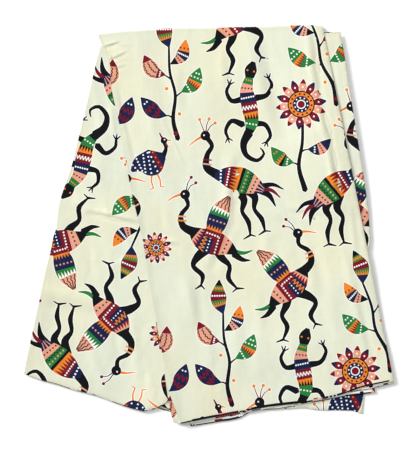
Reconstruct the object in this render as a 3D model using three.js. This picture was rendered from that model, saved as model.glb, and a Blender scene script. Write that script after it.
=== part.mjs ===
// A length of printed cotton cloth, folded and laid flat on a table.
// The cloth is doubled along its length into a strip, the strip is folded back and
// forth into a flat stack, and its last length is brought over the top fold at a slant.
// Millimetres, +Z up, the stack's underside on z = 0, its top fold towards +Y.
import * as THREE from 'three';

// Thickness and clearance of the cloth.
const DOUBLED_WALL = 1.6; // two starched plies with the air between them
const SINGLE_WALL = 1.2; // one starched ply, a little wavy
const SELVEDGE_WALL = 1.0; // the firm woven edge
const CLEARANCE = 0.3; // between plies that lie on each other

// The hidden lengths in the middle of the stack.
const CORE_HEIGHT = 6;
const FRONT_SIDE_DROP = 4; // thinner under the loose hems at the foot
const FLAP_SIDE_DROP = 1.5;
const FOOT_ZONE = 150; // how far up from the foot the stack is thinner
const FOOT_RAMP = 30;
const FLAP_SIDE_X = -170; // left of this the foot has the flap's drop
const FRONT_SIDE_X = -90; // right of this it has the front's drop

// Mesh spacing, and how a ply bridges an edge that lies under it.
const SPACING = 24;
const EDGE_STATIONS = [10, 26]; // extra mesh lines beside a free edge
const DROOP_REACH = 24; // how far in from its edge a ply sags
const DROOP_FADE = 0.05; // share of the edge over which the sag begins and ends
const CELL = 5;
const HALF_FIELD = 560;
const BRIDGE = 44; // a ply stays level this far past an edge under it
const SOFTENING = 10;

// The top fold: the cloth turns down round the end of the stack.
const FOLD_ANGLES = [150, 120, 90, 60, 30];
const FOLD_REACH = 4.6;
const FOLD_FOOT = 0.3; // height of the turned-down edge over the table

const { clamp, degToRad, lerp, smoothstep } = THREE.MathUtils;

// The plies in the order they lie, lowest first. Edges run from the top fold to the foot,
// x and y in the stack's plan. A hem or fold row gives the rise of that edge from a
// straight line, at a share of the way across. A crease runs from one point to another.
// A droop lets a free edge sag by its depth, between two shares of that edge.
const PLIES = [
  {
    name: 'tail_end',
    wall: SINGLE_WALL,
    color: 0xe9ead4,
    left: [{ x: 185, y: -390 }, { x: 190, y: -458 }],
    right: [{ x: 387, y: -365 }, { x: 387, y: -428 }, { x: 385, y: -471 }],
    hem: [
      { at: 0, rise: 0 }, { at: 0.24, rise: 6 }, { at: 0.43, rise: 2.5 },
      { at: 0.68, rise: 5 }, { at: 0.84, rise: 7 }, { at: 1, rise: 0 },
    ],
    hemFade: 2,
  },
  {
    name: 'selvedge_corner',
    wall: SELVEDGE_WALL,
    color: 0xe4e5cf,
    left: [{ x: -130, y: -395 }, { x: -150, y: -437 }],
    right: [{ x: -68, y: -425 }, { x: -78, y: -469 }],
  },
  {
    name: 'lower_ply',
    wall: SINGLE_WALL,
    color: 0xe6e7d0,
    left: [{ x: -60, y: -430 }, { x: -45, y: -502 }],
    right: [{ x: 400, y: -345 }, { x: 414, y: -404 }, { x: 416, y: -417 }],
    hem: [
      { at: 0, rise: 0 }, { at: 0.12, rise: -1 }, { at: 0.24, rise: -3 }, { at: 0.34, rise: 9 },
      { at: 0.5, rise: 3 }, { at: 0.64, rise: 4 }, { at: 0.84, rise: 4 }, { at: 1, rise: 0 },
    ],
    hemFade: 2,
  },
  {
    name: 'left_flap',
    wall: DOUBLED_WALL,
    color: 0xe4e6d0,
    left: [
      { x: -269, y: 450 }, { x: -294, y: 349 }, { x: -328, y: 209 }, { x: -346, y: 139 },
      { x: -372, y: 62 }, { x: -383, y: -9 }, { x: -391, y: -26 }, { x: -413, y: -137 },
      { x: -441, y: -276 }, { x: -462, y: -371 },
    ],
    right: [
      { x: -185, y: 458 }, { x: -172, y: 352 }, { x: -147, y: 225 }, { x: -118, y: 70 },
      { x: -80, y: -140 }, { x: -62, y: -290 }, { x: -68, y: -370 }, { x: -85, y: -425 },
    ],
    hem: [
      { at: 0, rise: 0 }, { at: 0.11, rise: -9 }, { at: 0.34, rise: -21 }, { at: 0.48, rise: -29 },
      { at: 0.6, rise: -39 }, { at: 0.76, rise: -50 }, { at: 0.84, rise: -51 },
      { at: 0.89, rise: -35 }, { at: 0.96, rise: -13 }, { at: 1, rise: 0 },
    ],
    hemFade: 6,
    droops: [
      { edge: 'left', depth: 2.2, from: 0.06, to: 1.2 },
      { edge: 'hem', depth: 1.0, from: -0.2, to: 0.64 },
    ],
    creases: [
      { x0: -348, y0: 50, x1: -205, y1: 18, width: 18, height: 2.4 },
      { x0: -415, y0: -172, x1: -300, y1: -206, width: 22, height: 2.2 },
      { x0: -285, y0: 195, x1: -250, y1: 92, width: 20, height: 1.6 },
      { x0: -372, y0: -286, x1: -300, y1: -390, width: 26, height: 1.6 },
    ],
  },
  {
    name: 'right_under_layer',
    wall: DOUBLED_WALL,
    color: 0xe8e9d3,
    left: [{ x: 215, y: 480 }, { x: 336, y: -130 }],
    right: [
      { x: 329, y: 485 }, { x: 331, y: 464 }, { x: 336, y: 442 }, { x: 346, y: 375 },
      { x: 368, y: 238 }, { x: 385, y: 132 }, { x: 395, y: 64 }, { x: 401, y: 0 },
      { x: 402, y: -40 }, { x: 380, y: -125 },
    ],
    droops: [{ edge: 'right', depth: 2.2, from: 0.06, to: 0.85 }],
    creases: [{ x0: 318, y0: 290, x1: 356, y1: 95, width: 20, height: 1.2 }],
  },
  {
    name: 'end_ply',
    wall: SINGLE_WALL,
    color: 0xe7e8d1,
    left: [{ x: -117, y: -318 }, { x: -104, y: -415 }, { x: -96, y: -462 }, { x: -88, y: -492 }],
    right: [{ x: 437, y: -300 }, { x: 450, y: -345 }, { x: 462.5, y: -395 }],
    hem: [
      { at: 0, rise: 0 }, { at: 0.06, rise: -10 }, { at: 0.3, rise: -8 }, { at: 0.52, rise: -5 },
      { at: 0.82, rise: -2 }, { at: 1, rise: 0 },
    ],
    hemFade: 3,
  },
  {
    name: 'front_panel',
    wall: DOUBLED_WALL,
    color: 0xefeed6,
    left: [
      { x: -276, y: 475 }, { x: -258, y: 432 }, { x: -247, y: 405 }, { x: -245, y: 359 },
      { x: -221, y: 242 }, { x: -198, y: 109 }, { x: -165, y: -36 }, { x: -148, y: -145 },
      { x: -115, y: -326 }, { x: -103, y: -400 }, { x: -70, y: -494 },
    ],
    right: [{ x: 284, y: 501 }, { x: 462, y: -389 }],
    fold: [
      { at: 0, rise: 0 }, { at: 0.14, rise: 7 }, { at: 0.32, rise: 11 }, { at: 0.53, rise: 8 },
      { at: 0.85, rise: 3 }, { at: 0.94, rise: 2.5 }, { at: 1, rise: 0 },
    ],
    hem: [
      { at: 0, rise: 0 }, { at: 0.37, rise: -1 }, { at: 0.62, rise: -9 }, { at: 0.72, rise: -9 },
      { at: 0.86, rise: 0 }, { at: 1, rise: 0 },
    ],
    hemFade: 8,
    rolled: true,
    droops: [{ edge: 'right', depth: 2.0, from: 0.8, to: 0.9 }],
    creases: [
      { x0: 240, y0: 460, x1: 282, y1: 239, width: 17, height: 2.2 },
      { x0: 282, y0: 239, x1: 322, y1: 40, width: 17, height: 2.8 },
      { x0: 66, y0: 195, x1: 42, y1: -25, width: 24, height: 2.2 },
      { x0: 175, y0: 150, x1: 240, y1: 90, width: 62, height: 2.6 },
      { x0: 102, y0: 425, x1: 134, y1: 300, width: 22, height: 1.8 },
      { x0: 12, y0: -18, x1: -72, y1: -262, width: 20, height: 1.8 },
      { x0: 300, y0: -210, x1: 350, y1: -320, width: 45, height: 1.8 },
      { x0: -165, y0: 380, x1: -130, y1: 150, width: 30, height: 1.4 },
    ],
  },
];

// The hidden lengths share one solid. Its top face stays inside the plies, and its side
// steps out in three rounded layers, each row a ring round the top face.
const CORE = {
  name: 'folded_core',
  color: 0xdedfc9,
  columns: 13,
  rows: 24,
  left: [
    { x: -244, y: 448 }, { x: -269, y: 349 }, { x: -303, y: 209 }, { x: -345, y: 62 },
    { x: -360, y: -20 }, { x: -386, y: -137 }, { x: -415, y: -276 }, { x: -431, y: -340 },
  ],
  right: [
    { x: 303, y: 460 }, { x: 321, y: 375 }, { x: 344, y: 238 }, { x: 361, y: 132 },
    { x: 373, y: 20 }, { x: 374, y: -61 }, { x: 400, y: -200 }, { x: 438, y: -365 },
  ],
  fold: [
    { at: 0, rise: 0 }, { at: 0.27, rise: 15 }, { at: 0.5, rise: 16 }, { at: 0.82, rise: 12 },
    { at: 1, rise: 0 },
  ],
  hem: [
    { at: 0, rise: 0 }, { at: 0.12, rise: -37 }, { at: 0.27, rise: -77 }, { at: 0.34, rise: -79 },
    { at: 0.41, rise: -107 }, { at: 0.5, rise: -100 }, { at: 0.67, rise: -68 },
    { at: 0.84, rise: -36 }, { at: 1, rise: 0 },
  ],
  hemFade: 4,
};
const CORE_RINGS = [
  { reach: 9, height: 5.4 }, { reach: 12, height: 4.7 }, { reach: 8, height: 4.1 },
  { reach: 15, height: 3.6 }, { reach: 17, height: 2.9 }, { reach: 12, height: 2.2 },
  { reach: 19, height: 1.6 }, { reach: 20, height: 0.9 }, { reach: 18, height: 0 },
];

// An edge of a ply as a smooth curve in plan, through the rows of its table.
function edgeCurve(rows) {
  const points = rows.map((row) => new THREE.Vector3(row.x, row.y, 0));
  return new THREE.CatmullRomCurve3(points, false, 'centripetal');
}

// The rise of a hem or fold from its straight line, at a share of the way across.
function riseAt(rows, across) {
  if (!rows) return 0;
  const next = Math.max(1, rows.findIndex((row) => row.at >= across - 1e-9));
  const from = rows[next - 1];
  const to = rows[next];
  return lerp(from.rise, to.rise, smoothstep(across, from.at, to.at));
}

// A sheet's plan: a point for each share across, left to right, and along, top to foot.
function makePlan(sheet) {
  const left = edgeCurve(sheet.left);
  const right = edgeCurve(sheet.right);
  const foldShift = sheet.rolled ? FOLD_REACH : 0;
  const place = (across, along) => {
    const point = left.getPointAt(along).lerp(right.getPointAt(along), across);
    const foldRise = riseAt(sheet.fold, across) - foldShift;
    point.y += foldRise * (1 - along) ** 8 + riseAt(sheet.hem, across) * along ** (sheet.hemFade ?? 1);
    return point;
  };
  const length = (left.getLength() + right.getLength()) / 2;
  const width = (place(0, 0).distanceTo(place(1, 0)) + place(0, 1).distanceTo(place(1, 1))) / 2;
  return { place, length, width };
}

// Shares of a length where mesh lines run: evenly spaced, closer beside both ends.
function stations(length) {
  const shares = new Set([0, 1]);
  for (const inset of EDGE_STATIONS) {
    shares.add(inset / length);
    shares.add(1 - inset / length);
  }
  const inner = length - 2 * EDGE_STATIONS[1];
  const count = Math.max(1, Math.round(inner / SPACING));
  for (let step = 1; step < count; step += 1) {
    shares.add((EDGE_STATIONS[1] + (inner * step) / count) / length);
  }
  return [...shares].filter((share) => share >= 0 && share <= 1).sort((a, b) => a - b);
}

// Mesh lines of a narrow band, with none closer than the first edge station.
function bandStations(length) {
  const count = Math.max(2, Math.round(length / SPACING));
  return Array.from({ length: count + 1 }, (_, step) => step / count);
}

// The height of the stack so far, on a square field of cells.
const fieldSide = (2 * HALF_FIELD) / CELL + 1;
const stackHeight = new Float32Array(fieldSide * fieldSide);

function cellsWithin(radius) {
  const cells = [];
  const reach = Math.ceil(radius / CELL);
  for (let row = -reach; row <= reach; row += 1) {
    for (let column = -reach; column <= reach; column += 1) {
      if (Math.hypot(row, column) * CELL <= radius) cells.push({ row, column });
    }
  }
  return cells;
}

function filterField(field, radius, start, combine, finish) {
  const result = new Float32Array(field.length);
  const cells = cellsWithin(radius);
  for (let row = 0; row < fieldSide; row += 1) {
    for (let column = 0; column < fieldSide; column += 1) {
      let value = start;
      for (const cell of cells) {
        const nearRow = clamp(row + cell.row, 0, fieldSide - 1);
        const nearColumn = clamp(column + cell.column, 0, fieldSide - 1);
        value = combine(value, field[nearRow * fieldSide + nearColumn]);
      }
      result[row * fieldSide + column] = finish(value, cells.length);
    }
  }
  return result;
}

// What a ply rests on: the stack so far, with its edges bridged and then softened.
function restingField() {
  const bridged = filterField(stackHeight, BRIDGE, 0, Math.max, (value) => value);
  return filterField(bridged, SOFTENING, 0, (sum, value) => sum + value, (sum, count) => sum / count);
}

function sampleField(field, x, y) {
  const column = (x + HALF_FIELD) / CELL;
  const row = (y + HALF_FIELD) / CELL;
  const left = Math.floor(column);
  const below = Math.floor(row);
  const near = (r, c) => field[r * fieldSide + c];
  const lower = lerp(near(below, left), near(below, left + 1), column - left);
  const upper = lerp(near(below + 1, left), near(below + 1, left + 1), column - left);
  return lerp(lower, upper, row - below);
}

function isInside(loop, x, y) {
  let inside = false;
  for (let index = 0, last = loop.length - 1; index < loop.length; last = index, index += 1) {
    const a = loop[index];
    const b = loop[last];
    const crosses = a.y > y !== b.y > y;
    if (crosses && x < ((b.x - a.x) * (y - a.y)) / (b.y - a.y) + a.x) inside = !inside;
  }
  return inside;
}

function raiseStack(loop, topHeight) {
  for (let row = 0; row < fieldSide; row += 1) {
    for (let column = 0; column < fieldSide; column += 1) {
      const x = column * CELL - HALF_FIELD;
      const y = row * CELL - HALF_FIELD;
      const index = row * fieldSide + column;
      if (isInside(loop, x, y)) stackHeight[index] = Math.max(stackHeight[index], topHeight(x, y));
    }
  }
}

// A crease is a soft ridge, fading out at both ends.
function creaseHeight(creases, x, y) {
  let height = 0;
  for (const crease of creases ?? []) {
    const dx = crease.x1 - crease.x0;
    const dy = crease.y1 - crease.y0;
    const along = ((x - crease.x0) * dx + (y - crease.y0) * dy) / (dx * dx + dy * dy);
    const nearest = clamp(along, 0, 1);
    const away = Math.hypot(x - crease.x0 - nearest * dx, y - crease.y0 - nearest * dy);
    height += crease.height * Math.exp(-((away / crease.width) ** 2));
  }
  return height;
}

// How far a free edge sags below the ply's level.
function droopDepth(ply, plan, across, along) {
  const point = plan.place(across, along);
  let depth = 0;
  for (const droop of ply.droops ?? []) {
    const share = droop.edge === 'hem' ? across : along;
    const edgePoints = { left: [0, along], right: [1, along], hem: [across, 1] };
    const distance = point.distanceTo(plan.place(...edgePoints[droop.edge]));
    const begins = smoothstep(share, droop.from - DROOP_FADE, droop.from + DROOP_FADE);
    const ends = smoothstep(share, droop.to - DROOP_FADE, droop.to + DROOP_FADE);
    const sag = droop.depth * clamp(1 - distance / DROOP_REACH, 0, 1) ** 2;
    depth = Math.max(depth, sag * begins * (1 - ends));
  }
  return depth;
}

// The boundary of a mesh grid, counter-clockwise from above.
function boundaryLoop(rowCount, columnCount) {
  const loop = [];
  for (let row = 0; row < rowCount - 1; row += 1) loop.push({ row, column: 0 });
  for (let column = 0; column < columnCount - 1; column += 1) loop.push({ row: rowCount - 1, column });
  for (let row = rowCount - 1; row > 0; row -= 1) loop.push({ row, column: columnCount - 1 });
  for (let column = columnCount - 1; column > 0; column -= 1) loop.push({ row: 0, column });
  return loop;
}

function makeMesh(name, color, positions, indices) {
  const geometry = new THREE.BufferGeometry();
  geometry.setAttribute('position', new THREE.Float32BufferAttribute(positions, 3));
  geometry.setIndex(indices);
  geometry.computeVertexNormals();
  const material = new THREE.MeshStandardMaterial({ color, roughness: 0.85, metalness: 0 });
  const mesh = new THREE.Mesh(geometry, material);
  mesh.name = name;
  return mesh;
}

function addBand(indices, upper, lower) {
  for (let index = 0; index < upper.length; index += 1) {
    const next = (index + 1) % upper.length;
    indices.push(upper[index], lower[index], lower[next]);
    indices.push(upper[index], lower[next], upper[next]);
  }
}

// A wall of cloth: the underside and the top face of each mesh point, joined by a rim.
function makeWall(name, color, undersides, tops) {
  const rowCount = tops.length;
  const columnCount = tops[0].length;
  const positions = [];
  for (const face of [tops, undersides]) {
    for (const row of face) for (const point of row) positions.push(point.x, point.y, point.z);
  }
  const faceSize = rowCount * columnCount;
  const indices = [];
  for (let row = 0; row < rowCount - 1; row += 1) {
    for (let column = 0; column < columnCount - 1; column += 1) {
      const a = row * columnCount + column;
      const b = a + 1;
      const d = a + columnCount;
      const c = d + 1;
      indices.push(a, d, c, a, c, b);
      indices.push(faceSize + a, faceSize + c, faceSize + d, faceSize + a, faceSize + b, faceSize + c);
    }
  }
  const upper = boundaryLoop(rowCount, columnCount).map(({ row, column }) => row * columnCount + column);
  addBand(indices, upper, upper.map((index) => index + faceSize));
  return makeMesh(name, color, positions, indices);
}

// The rows of mesh points where the cloth turns down round the end of the stack.
function foldRows(undersides, wall) {
  const first = undersides[0];
  return FOLD_ANGLES.map((degrees) => {
    const angle = degToRad(degrees);
    const turn = Math.sin(angle);
    const down = 1 - Math.cos(angle);
    const fullDown = 1 - Math.cos(degToRad(FOLD_ANGLES[0]));
    const under = [];
    const top = [];
    first.forEach((point, column) => {
      const before = first[Math.max(0, column - 1)];
      const after = first[Math.min(first.length - 1, column + 1)];
      const outward = new THREE.Vector3(before.y - after.y, after.x - before.x, 0).normalize();
      const radius = (point.z - FOLD_FOOT + wall * (1 - fullDown)) / fullDown;
      const inner = point.clone().addScaledVector(outward, radius * turn);
      inner.z -= radius * down;
      const outer = inner.clone().addScaledVector(outward, wall * turn);
      outer.z += wall * Math.cos(angle);
      under.push(inner);
      top.push(outer);
    });
    return { under, top };
  });
}

// A ply laid on the stack so far. It takes its height from what it rests on.
function layPly(ply) {
  const plan = makePlan(ply);
  const isBand = plan.length < 200;
  const alongs = isBand ? bandStations(plan.length) : stations(plan.length);
  const acrosses = plan.width < 150 && isBand ? bandStations(plan.width) : stations(plan.width);
  const field = restingField();
  const restingHeight = (x, y) => sampleField(field, x, y) + CLEARANCE + creaseHeight(ply.creases, x, y);
  let undersides = alongs.map((along) => acrosses.map((across) => {
    const point = plan.place(across, along);
    point.z = restingHeight(point.x, point.y) - droopDepth(ply, plan, across, along);
    return point;
  }));
  let tops = undersides.map((row) => row.map((point) => new THREE.Vector3(point.x, point.y, point.z + ply.wall)));
  const loop = boundaryLoop(tops.length, tops[0].length).map(({ row, column }) => tops[row][column]);
  raiseStack(loop, (x, y) => restingHeight(x, y) + ply.wall);
  if (ply.rolled) {
    const turned = foldRows(undersides, ply.wall);
    undersides = [...turned.map((row) => row.under), ...undersides];
    tops = [...turned.map((row) => row.top), ...tops];
  }
  return makeWall(ply.name, ply.color, undersides, tops);
}

// The core's height in plan, lower towards the foot where fewer lengths lie.
function makeCoreHeight(plan) {
  const hemPoints = Array.from({ length: 41 }, (_, step) => plan.place(step / 40, 1));
  return (x, y) => {
    const next = clamp(hemPoints.findIndex((point) => point.x >= x), 1, hemPoints.length - 1);
    const from = hemPoints[next - 1];
    const to = hemPoints[next];
    const hemY = lerp(from.y, to.y, clamp((x - from.x) / (to.x - from.x), 0, 1));
    const thinning = 1 - smoothstep(y - hemY, FOOT_ZONE - FOOT_RAMP, FOOT_ZONE);
    const drop = lerp(FLAP_SIDE_DROP, FRONT_SIDE_DROP, smoothstep(x, FLAP_SIDE_X, FRONT_SIDE_X));
    return CORE_HEIGHT - drop * thinning;
  };
}

function makeCore() {
  const plan = makePlan(CORE);
  const heightAt = makeCoreHeight(plan);
  const { rows, columns } = CORE;
  const positions = [];
  const points = [];
  for (let row = 0; row <= rows; row += 1) {
    for (let column = 0; column <= columns; column += 1) {
      const point = plan.place(column / columns, row / rows);
      point.z = heightAt(point.x, point.y);
      points.push(point);
      positions.push(point.x, point.y, point.z);
    }
  }
  const indices = [];
  for (let row = 0; row < rows; row += 1) {
    for (let column = 0; column < columns; column += 1) {
      const a = row * (columns + 1) + column;
      const d = a + columns + 1;
      indices.push(a, d, d + 1, a, d + 1, a + 1);
    }
  }
  const rim = boundaryLoop(rows + 1, columns + 1).map(({ row, column }) => row * (columns + 1) + column);
  const outward = rim.map((_, index) => {
    const before = points[rim[(index + rim.length - 1) % rim.length]];
    const after = points[rim[(index + 1) % rim.length]];
    return new THREE.Vector2(after.y - before.y, before.x - after.x).normalize();
  });
  let upper = rim;
  let ringPoints = [];
  for (const ring of CORE_RINGS) {
    const start = positions.length / 3;
    ringPoints = rim.map((pointIndex, index) => {
      const point = points[pointIndex];
      const x = point.x + outward[index].x * ring.reach;
      const y = point.y + outward[index].y * ring.reach;
      positions.push(x, y, (ring.height * point.z) / CORE_HEIGHT);
      return new THREE.Vector2(x, y);
    });
    const lower = rim.map((_, index) => start + index);
    addBand(indices, upper, lower);
    upper = lower;
  }
  for (const [a, b, c] of THREE.ShapeUtils.triangulateShape(ringPoints, [])) {
    indices.push(upper[a], upper[c], upper[b]);
  }
  raiseStack(ringPoints, heightAt);
  return makeMesh(CORE.name, CORE.color, positions, indices);
}

const cloth = new THREE.Group();
cloth.add(makeCore());
for (const ply of PLIES) cloth.add(layPly(ply));

// The origin is the middle of the stack's footprint, on the table.
const box = new THREE.Box3().setFromObject(cloth);
const middle = box.getCenter(new THREE.Vector3());
cloth.position.set(-middle.x, -middle.y, -box.min.z);

export default cloth;
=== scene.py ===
import math
from functools import partial

import bmesh
import bpy
import numpy as np
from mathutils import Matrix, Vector
from mathutils.bvhtree import BVHTree
from mathutils.geometry import delaunay_2d_cdt


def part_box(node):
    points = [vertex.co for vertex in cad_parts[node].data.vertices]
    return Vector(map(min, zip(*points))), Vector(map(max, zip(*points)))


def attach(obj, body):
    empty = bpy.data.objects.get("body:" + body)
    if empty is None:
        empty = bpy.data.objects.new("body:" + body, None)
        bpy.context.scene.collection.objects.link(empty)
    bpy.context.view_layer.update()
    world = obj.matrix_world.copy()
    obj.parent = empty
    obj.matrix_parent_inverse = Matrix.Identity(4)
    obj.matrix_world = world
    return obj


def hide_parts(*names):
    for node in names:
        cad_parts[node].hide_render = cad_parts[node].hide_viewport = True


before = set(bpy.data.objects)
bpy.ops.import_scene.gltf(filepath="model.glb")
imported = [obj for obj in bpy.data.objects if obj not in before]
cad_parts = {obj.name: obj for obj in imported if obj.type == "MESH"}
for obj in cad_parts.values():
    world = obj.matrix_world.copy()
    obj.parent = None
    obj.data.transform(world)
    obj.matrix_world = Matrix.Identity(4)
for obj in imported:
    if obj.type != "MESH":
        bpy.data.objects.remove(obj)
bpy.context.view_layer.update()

MM = 0.001


# Folded lengths inside the stack.
# The hidden lengths of the doubled strip lie on each other in a flat pile. Only their
# folded edges show, as thin rounded plies one over another round the side of the stack.
INNER_PLIES = 7
PLY_SETBACK = 5.0  # mm, how unevenly the folded edges lie over each other
PLY_GROOVE = 1.6  # mm, how far in the cloth goes between two folded edges
PLY_ROUND = [(0.35, 0.12), (0.0, 0.5), (0.35, 0.88)]  # mm in, at a share of the ply's height
HIDDEN_SAG = 1.4  # mm, how far the covered middle of the pile lies below its edges
PILE_INSET = 1.0  # mm from the CAD node's outline to the folded edges
SIDE_REACH = 26.0  # mm in from the edge, where the height of the pile is read
PILE_GRID = 30.0  # mm between the mesh points of the pile's top and underside


def srgb(*values):
    """A colour given in 0 to 255 screen values, as the linear values that Blender uses."""
    values = np.array(values) / 255
    linear = np.where(values <= 0.04045, values / 12.92, ((values + 0.055) / 1.055) ** 2.4)
    return (*linear.tolist(), 1.0)


def add_sockets(group, direction, rows):
    """The named inputs or outputs of a node group, each with its kind and value if it has one."""
    for name, kind, *value in rows:
        socket = group.interface.new_socket(name, in_out=direction, socket_type="NodeSocket" + kind)
        if value:
            socket.default_value = value[0]


def feed(tree, node, inputs):
    """Gives a node's inputs their values, or a link where the value is an output of another."""
    for key, value in inputs.items():
        if isinstance(value, bpy.types.NodeSocket):
            tree.links.new(value, node.inputs[key])
        else:
            node.inputs[key].default_value = value


def add_node(tree, kind, inputs, **settings):
    """A new node with its settings and its inputs. Returns its outputs."""
    node = tree.nodes.new(kind)
    for name, value in settings.items():
        setattr(node, name, value)
    feed(tree, node, inputs)
    return node.outputs


def cotton_group():
    """Plain-weave cotton: gives a dye its slubs and fading, painted shade along the cloth's edges, a
    roughness and a height in mm.
    """
    group = bpy.data.node_groups.new("Cotton cloth", "ShaderNodeTree")
    add_sockets(group, "INPUT", [
        ("Dye", "Color", (0.8, 0.8, 0.7, 1)), ("Slub", "Float", 0.05), ("Fading", "Float", 0.05),
        # The edge input is painted shade: how much darker the cloth is made along its edges.
        ("Rumple", "Float", 0.8), ("Warmth", "Float", 0.3), ("Edge grey", "Float", 0.18)])
    add_sockets(group, "OUTPUT", [("Color", "Color"), ("Roughness", "Float"), ("Height", "Float")])
    given = add_node(group, "NodeGroupInput", {})
    place = add_node(group, "ShaderNodeUVMap", {}, uv_map="cloth")["UV"]
    # Painted shade: this attribute says how far each point near an edge is darkened.
    edge_shade = add_node(group, "ShaderNodeAttribute", {}, attribute_name="painted_edge_shade")["Fac"]

    def noise(scale, detail):
        stretch = add_node(group, "ShaderNodeMapping", {"Vector": place, "Scale": scale})
        return add_node(group, "ShaderNodeTexNoise",
                        {"Vector": stretch["Vector"], "Scale": 1.0, "Detail": detail})["Fac"]

    def threads(direction):
        return add_node(group, "ShaderNodeTexWave", {"Vector": place, "Scale": 640.0, "Distortion": 0.4},
                        bands_direction=direction)["Fac"]

    def worked_out(operation, first, second):
        return add_node(group, "ShaderNodeMath", {0: first, 1: second}, operation=operation)[0]

    times, plus, minus = (partial(worked_out, operation) for operation in ("MULTIPLY", "ADD", "SUBTRACT"))
    slubs = times(noise((620.0, 16.0, 1.0), 2.0), noise((14.0, 540.0, 1.0), 2.0))
    shade = times(minus(slubs, 0.25), given["Slub"])
    fade = times(minus(noise((26.0, 22.0, 1.0), 3.0), 0.5), given["Fading"])
    # Painted shade along the edges: the colour gets darker where the attribute is high.
    edge_shaded = minus(1.0, times(edge_shade, given["Edge grey"]))
    depth = plus(times(shade, 4.0), plus(fade, edge_shaded))
    warmth = times(minus(noise((5.0, 4.0, 1.0), 3.0), 0.5), given["Warmth"])
    cast = add_node(group, "ShaderNodeCombineColor", {
        "Red": plus(depth, times(warmth, 0.6)), "Green": depth, "Blue": minus(depth, warmth)})
    tint = add_node(group, "ShaderNodeMix", {"Factor": 1.0, "A": given["Dye"], "B": cast["Color"]},
                    data_type="RGBA", blend_type="MULTIPLY")
    broad = times(noise((17.0, 8.0, 1.0), 1.5), given["Rumple"])
    small = times(noise((52.0, 30.0, 1.0), 1.5), times(given["Rumple"], 0.3))
    weave = times(threads("X"), threads("Y"))
    fine = plus(times(weave, 0.05), times(slubs, 0.16))
    add_node(group, "NodeGroupOutput", {
        "Color": tint["Result"], "Roughness": plus(times(slubs, 0.2), 0.72),
        "Height": plus(plus(broad, small), fine)})
    return group


cotton = cotton_group()


def cloth_material(name, dye, slub=0.05, fading=0.05, rumple=2.4):
    """A dyed cotton finish. The dye is one colour, or a function that adds nodes for it."""
    material = bpy.data.materials.new(name)
    material.use_nodes = True
    tree = material.node_tree
    weave = add_node(tree, "ShaderNodeGroup", {
        "Dye": dye(tree) if callable(dye) else dye, "Slub": slub, "Fading": fading, "Rumple": rumple},
        node_tree=cotton)
    bump = add_node(tree, "ShaderNodeBump", {"Height": weave["Height"], "Distance": MM, "Strength": 1.0})
    feed(tree, tree.nodes["Principled BSDF"], {
        "Base Color": weave["Color"], "Roughness": weave["Roughness"], "Normal": bump["Normal"],
        "Sheen Weight": 0.03, "Sheen Roughness": 0.5, "Specular IOR Level": 0.1})
    return material


# Each dye as its finish, its colour, its slubs and its fading.
DYES = {
    "ground": ("Cream ground", srgb(216, 218, 195), 0.05, 0.05),
    # The pale resist colour is the undyed resist line, and along the foot edges of two plies a painted
    # highlight.
    "resist": ("Undyed resist line and painted highlight", srgb(240, 240, 232), 0.03, 0.05),
    "black": ("Black dye", srgb(9, 12, 15), 0.22, 0.3),
    "navy": ("Navy dye", srgb(20, 30, 66), 0.2, 0.3),
    "wine": ("Wine red dye", srgb(114, 17, 34), 0.16, 0.25),
    "orange": ("Orange dye", srgb(222, 126, 42), 0.1, 0.14),
    "salmon": ("Salmon dye", srgb(217, 153, 128), 0.1, 0.14),
    "green": ("Green dye", srgb(36, 116, 55), 0.14, 0.25),
    "plum": ("Plum dye", srgb(62, 18, 42), 0.2, 0.25),
    # Painted shade of the pin holes: a grey that stands for the shade inside each hole.
    "pinhole_shade": ("Pin holes, painted shade", srgb(160, 158, 134), 0.05, 0.05),
}
DYE_ORDER = list(DYES)


def fold_dashes(tree):
    """Where the print runs over a folded edge it shows there as a short dash of one dye."""
    place = add_node(tree, "ShaderNodeUVMap", {}, uv_map="cloth")
    stretch = add_node(tree, "ShaderNodeMapping", {"Vector": place["UV"], "Scale": (26.0, 1400.0, 1.0)})
    cells = add_node(tree, "ShaderNodeTexVoronoi", {"Vector": stretch["Vector"], "Scale": 1.0})
    split = add_node(tree, "ShaderNodeSeparateColor", {"Color": cells["Color"]})
    dash = add_node(tree, "ShaderNodeValToRGB", {"Fac": split["Red"]})["Color"]
    ramp = dash.node.color_ramp
    ramp.interpolation = "CONSTANT"
    dashes = [(0.0, "ground"), (0.66, "black"), (0.76, "wine"), (0.82, "ground"), (0.86, "navy"),
              (0.92, "orange"), (0.96, "green")]
    # A new ramp has two stops of its own.
    for number, (start, dye) in enumerate(dashes):
        stop = ramp.elements[number] if number < 2 else ramp.elements.new(start)
        stop.position = start
        stop.color = DYES[dye][1]
    return dash


def welded(node):
    """A CAD node's mesh with its loose triangles joined, as a bmesh."""
    joined = bmesh.new()
    joined.from_mesh(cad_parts[node].data)
    bmesh.ops.remove_doubles(joined, verts=joined.verts, dist=0.000002)
    joined.normal_update()
    return joined


def chained(steps):
    """Closed loops of the keys of steps, which gives the next key after each."""
    loops = []
    while steps:
        start = next(iter(steps))
        loop = [start]
        following = steps.pop(start)
        while following != start and following in steps:
            loop.append(following)
            following = steps.pop(following)
        loops.append(loop)
    return loops


def loop_area(points):
    return 0.5 * float(np.sum(np.cross(points, np.roll(points, -1, axis=0))))


UPPER_SIDE = 0.08  # least upward part of a normal on the upper side


def outline_of(node):
    """The plan outline of a CAD node's upper side, in mm, anticlockwise."""
    joined = welded(node)
    steps = {}
    for face in joined.faces:
        if face.normal.z > UPPER_SIDE:
            for corner in face.loops:
                other = corner.link_loop_radial_next
                if other is corner or other.face.normal.z <= UPPER_SIDE:
                    steps[corner.vert.index] = corner.link_loop_next.vert.index
    joined.verts.ensure_lookup_table()
    loops = [np.array([joined.verts[i].co[:2] for i in loop]) / MM for loop in chained(steps)]
    joined.free()
    return max(loops, key=loop_area)


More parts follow.
